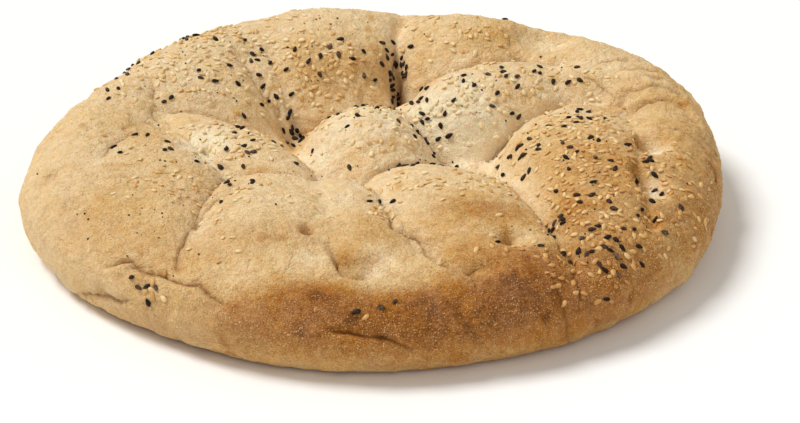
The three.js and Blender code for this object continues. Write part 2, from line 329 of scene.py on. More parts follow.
# Each point goes over the top, round the roll, under the tuck and in to the middle of the base.
quarter = math.pi / 2
edge = edge_radius(angle)
roll = np.clip((ring - TOP_RINGS) / ROLL_RINGS, 0, 1) * quarter
tuck = np.clip((ring - TOP_RINGS - ROLL_RINGS) / TUCK_RINGS, 0, 1) * quarter
base = np.clip((ring - TOP_RINGS - ROLL_RINGS - TUCK_RINGS) / BASE_RINGS, 0, 1)
rolled_out = ROLL_WIDTH * np.sin(roll) ** (2 / ROLL_POWER)
radius = (edge - ROLL_WIDTH) * np.minimum(ring / TOP_RINGS, 1) + rolled_out
flat = np.stack([radius * np.cos(angle), radius * np.sin(angle), 0 * radius], axis=-1)
WANDER = 1.3
WANDER_SIZE = 15
DOUBLES_APART = 0.02
top_x = flat[:, 0] + WANDER * unevenness(flat, WANDER_SIZE, 4)
top_y = flat[:, 1] + WANDER * unevenness(flat, WANDER_SIZE, 5)
seams, line, mark = seams_at(top_x, top_y)
top = dough_height(top_x, top_y) - seams
rolled = np.abs(np.cos(roll)) ** (2 / ROLL_POWER)
height = WIDEST_HEIGHT + (top - WIDEST_HEIGHT) * rolled
tucked = edge - TUCK_WIDTH * (1 - np.abs(np.cos(tuck)) ** (2 / TUCK_POWER))
under = WIDEST_HEIGHT * (1 - np.sin(tuck) ** (2 / TUCK_POWER))
height = np.where(tuck > 0, under, height)
radius = np.where(tuck > 0, tucked, radius)
radius = np.where(base > 0, (edge - TUCK_WIDTH) * (1 - base), radius)
on_top = np.where(tuck > 0, 0, rolled)
# The fold mask puts painted shade into the crust's colour along the seams; line and mark draw a thin
# painted shade line that is also sunk in the bump.
write_shade(crust.data, "fold", seams * on_top / DEEP_SEAM)
write_shade(crust.data, "line", line)
write_shade(crust.data, "mark", mark * on_top)
write_points(crust.data, np.stack([radius * np.cos(angle), radius * np.sin(angle), height], axis=-1))
bpy.ops.object.mode_set(mode="EDIT")
bpy.ops.mesh.select_all(action="SELECT")
bpy.ops.mesh.remove_doubles(threshold=DOUBLES_APART)
bpy.ops.mesh.normals_make_consistent(inside=False)
bpy.ops.mesh.select_all(action="DESELECT")
bpy.ops.object.mode_set(mode="OBJECT")

# Folds and cracks in the wall: name, depth, width, swell of the dough below it, line.
FOLDS = [
    ("front left fold", 1.9, 1.1, 1.6,
     [(-104, -86, 24), (-98, -88, 28), (-93, -90, 28), (-90, -94, 27), (-80, -101, 27),
      (-68, -108, 28), (-62, -114, 26), (-57, -117, 25)]),
    ("front left fold, upper", 1.0, 1.0, 0.6, [(-94, -94, 26), (-90, -93, 28), (-84, -95, 29)]),
    ("left foot fold", 1.7, 1.0, 0.9,
     [(-118, -73, 4), (-113, -80, 9), (-109, -86, 11), (-102, -92, 12), (-93, -99, 16)]),
    ("foot mark", 1.1, 1.0, 0.4, [(-64, -118, 10), (-58, -121, 10), (-52, -124, 10)]),
    ("foot mark, right", 1.2, 1.0, 0.4, [(-49, -126, 15), (-43, -128, 14)]),
    ("front crack", 2.2, 1.0, 0.5,
     [(-20, -131, 22), (-7, -133, 21), (-2, -133, 20), (6, -134, 17), (12, -133, 15)]),
    ("front crack, right", 1.2, 1.0, 0.2, [(15, -132, 19), (15, -133, 16), (18, -132, 12)]),
    ("front groove", 2.6, 2.2, 0.0, [(25, -122, 27), (29, -126, 24), (33, -128, 19), (37, -128, 12)]),
    ("rim crease", 1.3, 1.0, 0.0, [(33, -105, 31), (35, -113, 31), (35, -117, 29)]),
    ("seam", 2.0, 0.9, 0.0,
     [(65, -77, 32), (68, -86, 30), (73, -97, 28), (73, -102, 26), (74, -109, 23), (73, -112, 19)]),
    ("seam, left", 1.3, 1.0, 0.0,
     [(62, -101, 31), (66, -112, 25), (68, -115, 18), (69, -114, 9), (70, -108, 2)]),
    ("seam, right", 0.9, 1.0, 0.0, [(78, -110, 18), (81, -107, 10), (82, -102, 3)]),
    ("scar", 0.7, 0.9, 0.0, [(-103, -33, 39), (-96, -34, 39)]),
    ("scar, lower", 0.7, 0.9, 0.0, [(-99, -42, 39), (-90, -44, 38)]),
    ("back left pit", 2.0, 1.2, 0.0, [(-57, 71, 38), (-51, 61, 33), (-46, 56, 30), (-40, 49, 24)]),
    ("front dent edge", 4.4, 1.5, 1.9,
     [(-19, -89, 34), (-17, -95, 33), (-15, -99, 31), (-12, -104, 29), (-9, -107, 28),
      (-4, -107, 28), (1, -105, 28), (4, -101, 29)]),
    ("front crease", 2.0, 1.1, 0.8,
     [(1, -52, 33), (3, -64, 33), (5, -76, 33), (9, -77, 32), (14, -80, 32), (18, -85, 30),
      (20, -91, 28)]),
    ("front left crease", 1.1, 1.0, 0.5,
     [(-76, -98, 29), (-75, -87, 31), (-73, -78, 32), (-71, -70, 32), (-68, -60, 32), (-64, -51, 32),
      (-58, -43, 33)]),
    ("left crease", 0.9, 1.0, 0.4, [(-111, -20, 36), (-106, -5, 37), (-101, 4, 37), (-93, 9, 37)]),
    ("middle left crease", 0.9, 1.0, 0.5,
     [(-84, 11, 34), (-78, 4, 32), (-74, -1, 31), (-71, -5, 30), (-67, -9, 29), (-58, -17, 28)]),
    ("left of the middle crease", 0.9, 1.0, 0.4, [(-95, 47, 40), (-91, 28, 38), (-87, 14, 36)]),
    ("back cleft", 1.6, 1.1, 0.0, [(8, 90, 36), (8, 84, 31), (8, 76, 25), (9, 68, 19)]),
    ("middle right end crease", 1.0, 1.0, 0.0,
     [(84, 53, 41), (90, 48, 41), (95, 41, 40), (101, 31, 38)]),
    ("front rim fold", 1.9, 1.1, 0.5,
     [(20, -90, 28), (22, -97, 30), (28, -103, 31), (33, -105, 31), (41, -103, 32)]),
    ("right rim fold, back", 1.3, 1.2, 0.5,
     [(93, 59, 41), (100, 61, 43), (106, 62, 43), (114, 62, 41)]),
    ("right rim fold, outer", 1.3, 1.2, 0.5,
     [(104, 52, 40), (113, 54, 42), (118, 54, 41), (127, 51, 37)]),
    ("right rim fold, long", 1.7, 1.1, 0.6,
     [(112, 46, 40), (119, 47, 40), (125, 47, 39), (132, 42, 33), (138, 32, 28)]),
    ("right rim fold, middle", 1.0, 1.1, 0.3,
     [(103, 39, 38), (111, 38, 40), (118, 40, 40), (127, 39, 37), (135, 31, 31)]),
    ("right rim fold, strong", 3.4, 1.3, 1.8,
     [(103, 19, 38), (107, 22, 39), (113, 26, 41), (121, 28, 40), (126, 25, 39), (129, 19, 37),
      (131, 12, 35)]),
    ("right rim fold, front", 1.7, 1.1, 0.8, [(117, 2, 38), (121, 1, 38), (127, 0, 36), (130, -2, 35)]),
    ("right rim fold, foot", 2.3, 1.2, 1.0,
     [(128, -1, 36), (133, -3, 32), (136, -6, 28), (137, -12, 25), (137, -20, 23)]),
    ("right rim fold, small", 1.0, 1.0, 0.4, [(104, 15, 38), (108, 12, 38), (111, 8, 37)]),
    ("right rim fold, edge", 1.2, 1.2, 0.4, [(133, 22, 34), (139, 17, 28), (140, 8, 25)]),
]
LINE_STEP = 2
FOLD_FADE = 9
FOLD_AT_END = 0.3
FULL_FOLD = 1.6
FOLD_WANDER_SIZE = 8


def laid_on(line, points, normals):
    """The line again in short steps, each laid on the crust where it is nearest."""
    corners = np.array(line, float)
    steps = []
    for start, end in zip(corners[:-1], corners[1:]):
        count = max(1, round(np.linalg.norm(end - start) / LINE_STEP))
        steps += [start + (end - start) * share / count for share in range(count)]
    laid = []
    for place in steps + [corners[-1]]:
        closest = np.argmin(np.linalg.norm(points - place, axis=1))
        gap = (place - points[closest]) @ normals[closest]
        laid.append(place - gap * normals[closest])
    return laid


dough = read_points(crust.data)
outward = read_normals(crust.data)
fold, line, mark = (read_shade(crust.data, name) for name in ("fold", "line", "mark"))
move = np.zeros(len(dough))
strayed = [unevenness(dough, FOLD_WANDER_SIZE, 11 + axis) for axis in range(3)]
wander = WANDER * np.stack(strayed, axis=-1)
for name, depth, width, swell, corners in FOLDS:
    laid = laid_on(corners, dough, outward)
    away, places, ways = nearest_on_line(dough + wander, laid)
    from_end = np.minimum(*(np.linalg.norm(places - end, axis=1) for end in (laid[0], laid[-1])))
    fade = np.clip(FOLD_AT_END + from_end / FOLD_FADE, 0, 1)
    strength = min(depth / FULL_FOLD, 1)
    cut = fade * np.exp(-((away / width) ** 2))
    below = np.clip((places[:, 2] - dough[:, 2]) / width, 0, 1)
    move -= depth * cut
    move += swell * fade * below * np.exp(-(((away - 3 * width) / (3 * width)) ** 2))
    # The fold mask paints shade into the colour along each fold.
    fold = np.maximum(fold, cut * strength)
    side = np.sign(np.einsum("ij,ij->i", dough + wander - places, np.cross(outward, ways)))
    closer = away < np.abs(line)
    line[closer], mark[closer] = (away * side)[closer], (fade * strength)[closer]

# Wrinkles run round the rim where the dough was drawn out, most of all at the back on the right.
from_middle = np.hypot(dough[:, 0], dough[:, 1])
turn = np.arctan2(dough[:, 1], dough[:, 0])
along_rim = np.stack([turn * LENGTH / 2, from_middle - dough[:, 2], 0 * turn], axis=-1)
WRINKLE_SIZE = (34, 5, 1)
WRINKLE_WIDTH = 0.16
wrinkles = np.exp(-((unevenness(along_rim, WRINKLE_SIZE, 7) / WRINKLE_WIDTH) ** 2))
WRINKLED = [
    ("back right rim", (114, 44, 34), (26, 46, 26), 0.9),
    ("right rim", (134, -20, 30), (14, 44, 18), 0.7),
    ("left rim", (-118, 10, 34), (20, 50, 16), 0.25),
    ("front wall", (10, -130, 20), (70, 14, 16), 0.3),
]


def patch_amount(points, patches):
    total = np.zeros(len(points))
    for name, middle, half, amount in patches:
        away = np.linalg.norm((points - np.array(middle)) / np.array(half), axis=1)
        total += amount * np.exp(-(away**2))
    return total


# Lumps of the crumb below: across, height on the top, height where the edge rolls over, seed.
LUMPS = [
    (24, 0.8, 0.8, 1),
    (10, 0.5, 1.0, 2),
    (4.6, 0.52, 0.52, 3),
    (2.6, 0.32, 0.32, 6),
]
FOOT_LUMP_SIZE = 7
FOOT_LUMP = 0.8
FOOT_TOP = 15
FOOT_FADE = 10
FLAT_FOOT = 4
EDGE_START = 0.78
EDGE_BAND = 0.2
move -= wrinkles * patch_amount(dough, WRINKLED)
over_edge = np.clip((from_middle / edge_radius(turn) - EDGE_START) / EDGE_BAND, 0, 1)
for across, lump, edge_lump, seed in LUMPS:
    move += (lump + (edge_lump - lump) * over_edge) * unevenness(dough, across, seed)
near_foot = np.clip((FOOT_TOP - dough[:, 2]) / FOOT_FADE, 0, 1)
move += FOOT_LUMP * unevenness(dough, FOOT_LUMP_SIZE, 8) * near_foot
move *= np.clip(dough[:, 2] / FLAT_FOOT, 0, 1)


LOOK_ROUND = 11
FULL_PROMINENCE = 6


def prominence(points):
    """How far a point of the top stands above the dough round it, from -1 to 1."""
    around = np.zeros(len(points))
    for step in range(8):
        way = step * math.pi / 4
        step_x, step_y = LOOK_ROUND * math.cos(way), LOOK_ROUND * math.sin(way)
        around += dough_height(points[:, 0] + step_x, points[:, 1] + step_y) / 8
    above = dough_height(points[:, 0], points[:, 1]) - around
    return np.clip(above / FULL_PROMINENCE, -1, 1)


# Shade of the crust's browning, with painted light: pale in the hollows, golden on the lobes, brown on
# the front wall, with painted shade in some pits, hollows and creases and painted highlights on two
# pit walls. Each patch has a name, middle, half widths and amount.
BAKE = 0.225
BAKE_OF_LOBES = 0.13
BAKE_OF_EDGE = 0.1
BAKE_OF_BASE = 0.3
BASE_HEIGHT = 3
FLOUR_ON_TOP = 0.25
BROWNED_AND_PAINTED_SHADE = [
    ("front wall", (3, -128, 23), (67, 18, 12), 0.56),
    ("front wall, left", (-46, -122, 21), (16, 14, 10), 0.10),
    ("front wall, right", (52, -116, 25), (14, 12, 9), 0.10),
    ("low left", (-90, -104, 16), (8, 8, 6), 0.06),
    ("foot of the front", (20, -126, 8), (84, 24, 9), 0.20),
    ("foot of the left", (-80, -100, 8), (40, 30, 14), 0.20),
    ("front rim, left", (-23, -117, 30), (17, 8, 8), 0.36),
    ("front rim", (13, -121, 30), (16, 6, 7), 0.17),
    ("front rim, right", (38, -113, 31), (28, 9, 9), 0.24),
    ("front left lobe, left end", (-72, -90, 33), (20, 14, 14), 0.22),
    ("front left lobe, front", (-42, -86, 36), (16, 12, 10), 0.22),
    ("front lobe", (-6, -82, 34), (20, 14, 10), 0.24),
    ("front right lobe, front", (34, -94, 33), (14, 10, 10), 0.26),
    ("front right corner", (56, -100, 31), (16, 14, 12), 0.26),
    ("right front", (88, -100, 22), (46, 34, 24), 0.44),
    ("right wall", (140, -52, 20), (22, 56, 22), 0.38),
    ("right lobe", (90, -36, 42), (28, 38, 14), 0.34),
    ("right lobe, left side", (68, -28, 36), (12, 30, 12), 0.06),
    ("foot of the right lobe", (72, -68, 34), (10, 12, 10), 0.20),
    ("right rim", (122, 10, 36), (20, 52, 18), 0.12),
    ("right rim, front", (114, -62, 34), (14, 16, 12), 0.12),
    ("right crease, back", (98, 30, 37), (9, 7, 10), 0.24),
    ("right rim, wrinkled", (118, 30, 40), (14, 10, 8), 0.10),
    ("front right", (38, -67, 38), (22, 13, 12), 0.38),
    ("back middle face", (-16, 68, 36), (30, 16, 14), 0.20),
    ("back right face", (56, 82, 44), (24, 14, 14), 0.22),
    ("left rim", (-106, -64, 34), (30, 26, 14), 0.18),
    ("left lobe", (-88, -24, 38), (26, 40, 14), 0.08),
    ("left lobe, right edge", (-65, -42, 33), (8, 20, 10), 0.12),
    ("top left", (-80, 76, 40), (46, 40, 20), 0.02),
    ("back left face, foot", (-60, 30, 28), (14, 12, 10), 0.12),
    ("left crease", (-98, 6, 35), (16, 16, 10), 0.13),
    # From here to the front left pit: painted shade, darkening pits, hollows, the front dent and the
    # back crease where shade falls in them.
    ("right, upper pit", (105, -8, 33), (3, 5, 8), 0.46),
    ("right, middle pit", (101, -40, 33), (3.5, 8, 8), 0.38),
    ("right, lower dent", (104, -64, 32), (3, 8, 8), 0.14),
    ("beside the middle", (-35, 38, 16), (8, 11, 8), 0.36),
    ("foot of the back middle", (-27, 46, 24), (10, 7, 9), 0.25),
    ("front dent edge", (-13, -97, 32), (4, 7, 5), 0.34),
    ("front dent, deepest", (-8, -104, 26), (7, 3, 6), 0.40),
    ("back crease", (8, 76, 26), (4, 13, 14), 0.22),
    ("front right pit", (48, -85, 28), (3.5, 4, 6), 0.30),
    ("front left pit", (-28, -81, 34), (2.5, 3, 6), 0.30),
    ("rubbed spot on the left lobe", (-104, -29, 38), (6, 1.5, 4), 0.20),
    ("rubbed spot on the left lobe, lower", (-99, -39, 38), (7, 1.2, 4), 0.14),
    ("rubbed spot on the middle left", (-47, -20, 32), (5, 2, 4), 0.25),
]
PALE_AND_PAINTED_LIGHT = [
    ("middle, left", (-24, 14, 30), (14, 26, 14), 0.12),
    ("middle right, foot", (34, 26, 32), (20, 22, 16), 0.14),
    ("back right dent", (76, 86, 36), (16, 12, 12), 0.09),
    ("middle, top", (-4, 16, 36), (22, 16, 12), 0.12),
    ("middle right, low", (28, 27, 27), (14, 12, 14), 0.32),
    ("back left top", (-80, 60, 42), (26, 18, 12), 0.05),
    ("edge of the middle left", (-70, -2, 32), (10, 12, 8), 0.24),
    ("front dent", (1, -101, 28), (7, 6, 8), 0.20),
    ("front dent, lip", (-1, -114, 31), (13, 5, 5), 0.26),
    ("between left and middle left", (-70, 2, 32), (14, 14, 10), 0.14),
    ("front right, low", (54, -82, 33), (10, 9, 10), 0.16),
    # These two: painted highlight on the lit right walls of the right pits, where the crust is also
    # less browned.
    ("right, upper dent", (112, -13, 35), (5, 7, 12), 0.44),
    ("right, middle dent", (108, -45, 35), (4.5, 8, 12), 0.44),
    ("middle right, face", (32, 32, 34), (20, 14, 12), 0.16),
]
DUSTED = [
    ("left wall", (-128, -50, 22), (22, 50, 22), 0.5),
    ("front left lobe", (-56, -78, 36), (24, 18, 12), 0.4),
    ("foot of the left", (-84, -100, 14), (40, 30, 12), 0.4),
    ("middle", (-6, 16, 34), (22, 18, 14), 0.25),
    ("back rim, left", (-80, 90, 38), (50, 30, 18), 0.1),
    ("back wall", (0, 128, 16), (110, 26, 18), 0.5),
]
# This holds the browning of the crust together with the painted shade and painted light of the patches.
bake_and_painted_light = BAKE + BAKE_OF_LOBES * prominence(dough) * (1 - over_edge) + BAKE_OF_EDGE * over_edge
bake_and_painted_light += patch_amount(dough, BROWNED_AND_PAINTED_SHADE) - patch_amount(dough, PALE_AND_PAINTED_LIGHT)
bake_and_painted_light += BAKE_OF_BASE * np.clip(1 - dough[:, 2] / BASE_HEIGHT, 0, 1)
flour = FLOUR_ON_TOP + (1 - FLOUR_ON_TOP) * over_edge
dust = np.clip(patch_amount(dough, DUSTED), 0, 1)

dough = dough + outward * move[:, None]
middle = (dough.min(axis=0) + dough.max(axis=0)) / 2
cad_middle = (np.array(cad_box[0]) + np.array(cad_box[1])) / 2 / MM
shift = np.array([cad_middle[0] - middle[0], cad_middle[1] - middle[1], -dough[:, 2].min()])
write_points(crust.data, (dough + shift) * MM)
write_shade(crust.data, "bake_and_painted_light", np.clip(bake_and_painted_light, 0, 1))
write_shade(crust.data, "fold", np.clip(fold, 0, 1))
write_shade(crust.data, "line", np.clip(line, -LINE_REACH, LINE_REACH))
MARK_END = 2.6
MARK_FADE = 2
near_line = np.clip((MARK_END - np.abs(line)) / MARK_FADE, 0, 1)
write_shade(crust.data, "mark", mark * near_line)
write_shade(crust.data, "flour", flour)
write_shade(crust.data, "dust", dust)
bpy.ops.object.shade_smooth()


def linear(hex_colour):
    """An sRGB hex value as the linear colour that a material takes."""
    parts = [int(hex_colour[i : i + 2], 16) / 255 for i in (1, 3, 5)]
    return [c / 12.92 if c <= 0.04045 else ((c + 0.055) / 1.055) ** 2.4 for c in parts] + [1.0]


def new_material(name):
    material = bpy.data.materials.new(name)
    material.use_nodes = True
    material.node_tree.nodes.clear()
    return material, material.node_tree


def add_node(tree, kind, settings=None, **links):
    """Adds a node, sets its properties, and fills each socket with a value, a node or an output.

    A socket goes by its name, or by i and its number. A node stands for its first output.
    """
    node = tree.nodes.new(kind)
    for key, value in (settings or {}).items():
        setattr(node, key, value)
    for key, value in links.items():
        socket = node.inputs[int(key[1:]) if key[1:].isdigit() else key.replace("_", " ")]
        if isinstance(value, bpy.types.Node):
            value = value.outputs[0]
        if isinstance(value, bpy.types.NodeSocket):
            tree.links.new(value, socket)
        else:
            socket.default_value = value
    return node


def set_shades(ramp, shades):
    """Gives a ramp its stops, each with a place from 0 to 1 and an sRGB hex value."""
    stops = ramp.color_ramp.elements
    while len(stops) < len(shades):
        stops.new(0.5)
    for stop, (place, colour) in zip(stops, shades):
        stop.position = place
        stop.color = linear(colour)


def per_metre(across):
    """How often a pattern comes in a metre, from how many mm it is across."""
    return 1 / (across * MM)


MATH = "ShaderNodeMath"
PLUS = {"operation": "ADD"}
MINUS = {"operation": "SUBTRACT"}
TIMES = {"operation": "MULTIPLY"}
TIMES_PLUS = {"operation": "MULTIPLY_ADD"}
BELOW = {"operation": "LESS_THAN"}
POWER = {"operation": "POWER"}
EXPONENT = {"operation": "EXPONENT"}
OF_COLOURS = {"data_type": "RGBA"}

# Baked wheat crust: dry, matt and floury, cream where the dough was pressed together, golden on
# the lobes and brown where it faced the heat, with a fine grain of semolina and tiny blisters.
# Shade is painted into its colour in the folds, seams, pits and hollows, and light on two pit walls.
# The patterns are this many mm across, from the clouds of the bake to the grain of the flour.
CLOUD_SIZE = 16.7
OIL_SIZE = 13.3
BLISTER_SIZE = 10.5
CREPE_SIZE = 5.88
BLOTCH_SIZE = 4.35
RAGGED_SIZE = 3.85
PORE_SIZE = 1.79
SPECK_SIZE = 0.667
GRAIN_SIZE = 0.556
CLOUD_SHADE = 0.22
BLOTCH_SHADE = 0.5
BLOTCH_SHADE_FLOURED = -0.12
PORE_SHADE = 0.3
GRAIN_SHADE = 0.7
CREPE_SHADE = 0.02
CREPE_SHARPNESS = 22
CREPE_DEPTH = -0.35
BLISTER_RADIUS = 0.36
BLISTER_SHARE = 0.34
BLISTER_SHADE = 0.7
BLISTER_STRAY = 6
SPECK_RADIUS = 0.42
SPECK_SHARE = 0.3
SPECK_SHADE = 0.3
DUST_SHADE = 0.7
OILED_SATURATION = 0.3
LEAST_SATURATION = 0.89
LINE_WIDTH = 0.5
# Painted shade in the folds and along the thin seam lines, and the most it darkens.
FOLD_PAINTED_SHADE = 0.35
LINE_PAINTED_SHADE = 0.36
DARKEST_LINE = 0.8
CRUST_SHADES = [
    (0.00, "#fae9c7"),
    (0.20, "#f0d3a6"),
    (0.40, "#e0bb84"),
    (0.56, "#cea166"),
    (0.70, "#bb8549"),
    (0.85, "#a76c34"),
    (1.00, "#7c4c21"),
]
DUST_COLOUR = "#ead9bd"
SPECK_COLOUR = "#eed3a2"
PAINTED_CREASE_SHADE_COLOUR = "#96602c"
material, tree = new_material("baked_wheat_crust")
place = add_node(tree, "ShaderNodeTexCoord").outputs["Object"]
baked_and_painted_light, fold_painted_shade_mask, floured, line_away, marked, dusted = (
    add_node(tree, "ShaderNodeAttribute", {"attribute_name": name}).outputs["Fac"]
    for name in ("bake_and_painted_light", "fold", "flour", "line", "mark", "dust")
)
clouds, oiled, blotches, pores, grain = (
    add_node(
        tree, "ShaderNodeTexNoise", Vector=place, Scale=per_metre(size), Detail=detail, Roughness=rough
    )
    for size, detail, rough in (
        (CLOUD_SIZE, 5, 0.62),
        (OIL_SIZE, 4, 0.55),
        (BLOTCH_SIZE, 4, 0.62),
        (PORE_SIZE, 3, 0.6),
        (GRAIN_SIZE, 2, 0.7),
    )
)

# The skin creped as it dried, along the lines where a noise crosses its middle.
creased = add_node(
    tree, "ShaderNodeTexNoise", Vector=place, Scale=per_metre(CREPE_SIZE), Detail=4,
    Roughness=0.55, Distortion=0.8,
)
from_ridge = add_node(tree, MATH, TIMES_PLUS, i0=creased, i1=CREPE_SHARPNESS, i2=-CREPE_SHARPNESS / 2)
squared = add_node(tree, MATH, POWER, i0=from_ridge, i1=2)
falling = add_node(tree, MATH, TIMES, i0=squared, i1=-1)
creping = add_node(tree, MATH, EXPONENT, i0=falling)

# Some blisters are toasted, each ragged at its edge and darkest in its middle.
ragged = add_node(tree, "ShaderNodeTexNoise", Vector=place, Scale=per_metre(RAGGED_SIZE), Detail=2)
strayed = add_node(
    tree, "ShaderNodeVectorMath", {"operation": "SCALE"}, i0=ragged.outputs["Color"],
    Scale=BLISTER_STRAY * MM,
)
blister_place = add_node(tree, "ShaderNodeVectorMath", PLUS, i0=place, i1=strayed)
blisters = add_node(tree, "ShaderNodeTexVoronoi", Vector=blister_place, Scale=per_metre(BLISTER_SIZE))
inside = add_node(tree, MATH, MINUS, i0=BLISTER_RADIUS, i1=blisters)
in_blister = add_node(tree, MATH, {"operation": "MAXIMUM"}, i0=inside, i1=0.0)
toasted = add_node(tree, MATH, BELOW, i0=blisters.outputs["Color"], i1=BLISTER_SHARE)
toast = add_node(tree, MATH, TIMES, i0=in_blister, i1=toasted)

# The shade is the browning of the place, with its painted shade and light, lightened and darkened by
# each pattern.
mottling = add_node(tree, MATH, TIMES_PLUS, i0=floured, i1=BLOTCH_SHADE_FLOURED, i2=BLOTCH_SHADE)
shade = add_node(tree, MATH, TIMES_PLUS, i0=toast, i1=BLISTER_SHADE, i2=baked_and_painted_light)
shade = add_node(tree, MATH, TIMES_PLUS, i0=creping, i1=CREPE_SHADE, i2=shade)
for pattern, strength in (
    (clouds, CLOUD_SHADE), (blotches, mottling), (pores, PORE_SHADE), (grain, GRAIN_SHADE)
):
    centred = add_node(tree, MATH, MINUS, i0=pattern, i1=0.5)
    shade = add_node(tree, MATH, TIMES_PLUS, i0=centred, i1=strength, i2=shade)
shades = add_node(tree, "ShaderNodeValToRGB", Fac=shade)
set_shades(shades, CRUST_SHADES)
yellowness = add_node(tree, MATH, TIMES_PLUS, i0=oiled, i1=OILED_SATURATION, i2=LEAST_SATURATION)
colour = add_node(tree, "ShaderNodeHueSaturation", Color=shades, Saturation=yellowness)

# Over it lie the dust of flour, specks of semolina, and painted shade in the folds and along the thin
# seams.
uneven_dust = add_node(tree, MATH, TIMES, i0=dusted, i1=blotches)
powder = add_node(tree, MATH, TIMES, i0=uneven_dust, i1=DUST_SHADE)
specks = add_node(tree, "ShaderNodeTexVoronoi", Vector=place, Scale=per_metre(SPECK_SIZE))
in_speck = add_node(tree, MATH, BELOW, i0=specks, i1=SPECK_RADIUS)
share = add_node(tree, MATH, TIMES, i0=floured, i1=SPECK_SHARE)
picked = add_node(tree, MATH, BELOW, i0=specks.outputs["Color"], i1=share)
seen = add_node(tree, MATH, TIMES, i0=picked, i1=SPECK_SHADE)
speck = add_node(tree, MATH, TIMES, i0=in_speck, i1=seen)
from_line = add_node(tree, MATH, TIMES, i0=line_away, i1=1 / LINE_WIDTH)
squared = add_node(tree, MATH, POWER, i0=from_line, i1=2)
falling = add_node(tree, MATH, TIMES, i0=squared, i1=-1)
on_line = add_node(tree, MATH, EXPONENT, i0=falling)
thin = add_node(tree, MATH, TIMES, i0=on_line, i1=marked)
thin_painted_shade = add_node(tree, MATH, TIMES, i0=thin, i1=LINE_PAINTED_SHADE)
dark = add_node(tree, MATH, TIMES_PLUS, i0=fold_painted_shade_mask, i1=FOLD_PAINTED_SHADE, i2=thin_painted_shade)
painted_crease_shade = add_node(tree, MATH, {"operation": "MINIMUM"}, i0=dark, i1=DARKEST_LINE)
for share, over in ((powder, DUST_COLOUR), (speck, SPECK_COLOUR), (painted_crease_shade, PAINTED_CREASE_SHADE_COLOUR)):
    mix = add_node(tree, "ShaderNodeMix", OF_COLOURS, i0=share, i6=colour, i7=linear(over))
    colour = mix.outputs[2]

# Relief too fine for the mesh: its height, depth in mm and strength.
sunk_line = add_node(tree, MATH, TIMES, i0=thin, i1=-1)
sunk = add_node(tree, MATH, TIMES_PLUS, i0=creping, i1=CREPE_DEPTH, i2=sunk_line)
under = {}
for height, depth, strength in (
    (grain, 0.6, 0.7), (pores, 0.8, 0.8), (blotches, 1.6, 1.0), (sunk, 0.6, 0.8)
):
    relief = add_node(
        tree, "ShaderNodeBump", Height=height, Distance=depth * MM, Strength=strength, **under
    )
    under = {"Normal": relief}
surface = add_node(
    tree, "ShaderNodeBsdfPrincipled", Base_Color=colour, Roughness=0.72, Specular_IOR_Level=0.3,
    Subsurface_Weight=0.28, Subsurface_Radius=(1.0, 0.45, 0.2), Subsurface_Scale=1.5 * MM, **under,
)
add_node(tree, "ShaderNodeOutputMaterial", Surface=surface)
crust.data.materials.append(material)
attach(crust, "root")
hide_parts("bread")


# ---- Sesame seeds ---------------------------------------------------------------------------
# Hulled sesame, flat and drop-shaped, from cream to toasted gold. It was strewn on the wet dough
# before baking, so each seed lies on the crust and is held in it by part of its thickness.
DOWN = Vector((0, 0, -1))
FROM_FRONT = Vector((0, 1, 0))
FROM_RIGHT = Vector((-1, 0, 0))
SHIFT = Vector(shift)
THROW = 200
THROW_SPREAD = 0.7
TRIES = 40
UNLIKE = 0.08


def drop_shape(around, along, tip):
    """A closed drop 1 long, 1 wide and 1 thick that narrows towards one end."""
    bpy.ops.mesh.primitive_uv_sphere_add(segments=around, ring_count=along, radius=0.5)
    ball = bpy.context.active_object
    points = read_points(ball.data)
    narrow = 1 - tip * np.clip(points[:, 2] + 0.5, 0, 1) ** 2
    points = np.stack([points[:, 2], points[:, 0] * narrow, points[:, 1] * narrow], axis=-1)
    faces = [tuple(face.vertices) for face in ball.data.polygons]
    bpy.data.objects.remove(ball)
    return points, faces


def thrown_places(patches, spacing, taken, draws):
    """Places on the crust with the direction it faces, each kept clear of the ones before it."""
    places = []
    for name, middle, half, throw, count in patches:
        beside = Vector((1, 0, 0)) if throw.x == 0 else Vector((0, 1, 0))
        up = beside.cross(throw)
        left_to_place, tries = count, count * TRIES
        while left_to_place and tries:
            tries -= 1
            across, along = (draws.gauss(0, THROW_SPREAD) * side for side in half)
            start = Vector(middle) + beside * across + up * along - throw * THROW
            found, spot, facing, face = crust.ray_cast((start + SHIFT) * MM, throw)
            if not found or spacing and any((spot - other).length < spacing * MM for other in taken):
                continue
            left_to_place -= 1
            if spacing:
                taken.append(spot)
            places.append((spot, facing, bake_and_painted_light[crust.data.polygons[face].vertices[0]]))
    return places


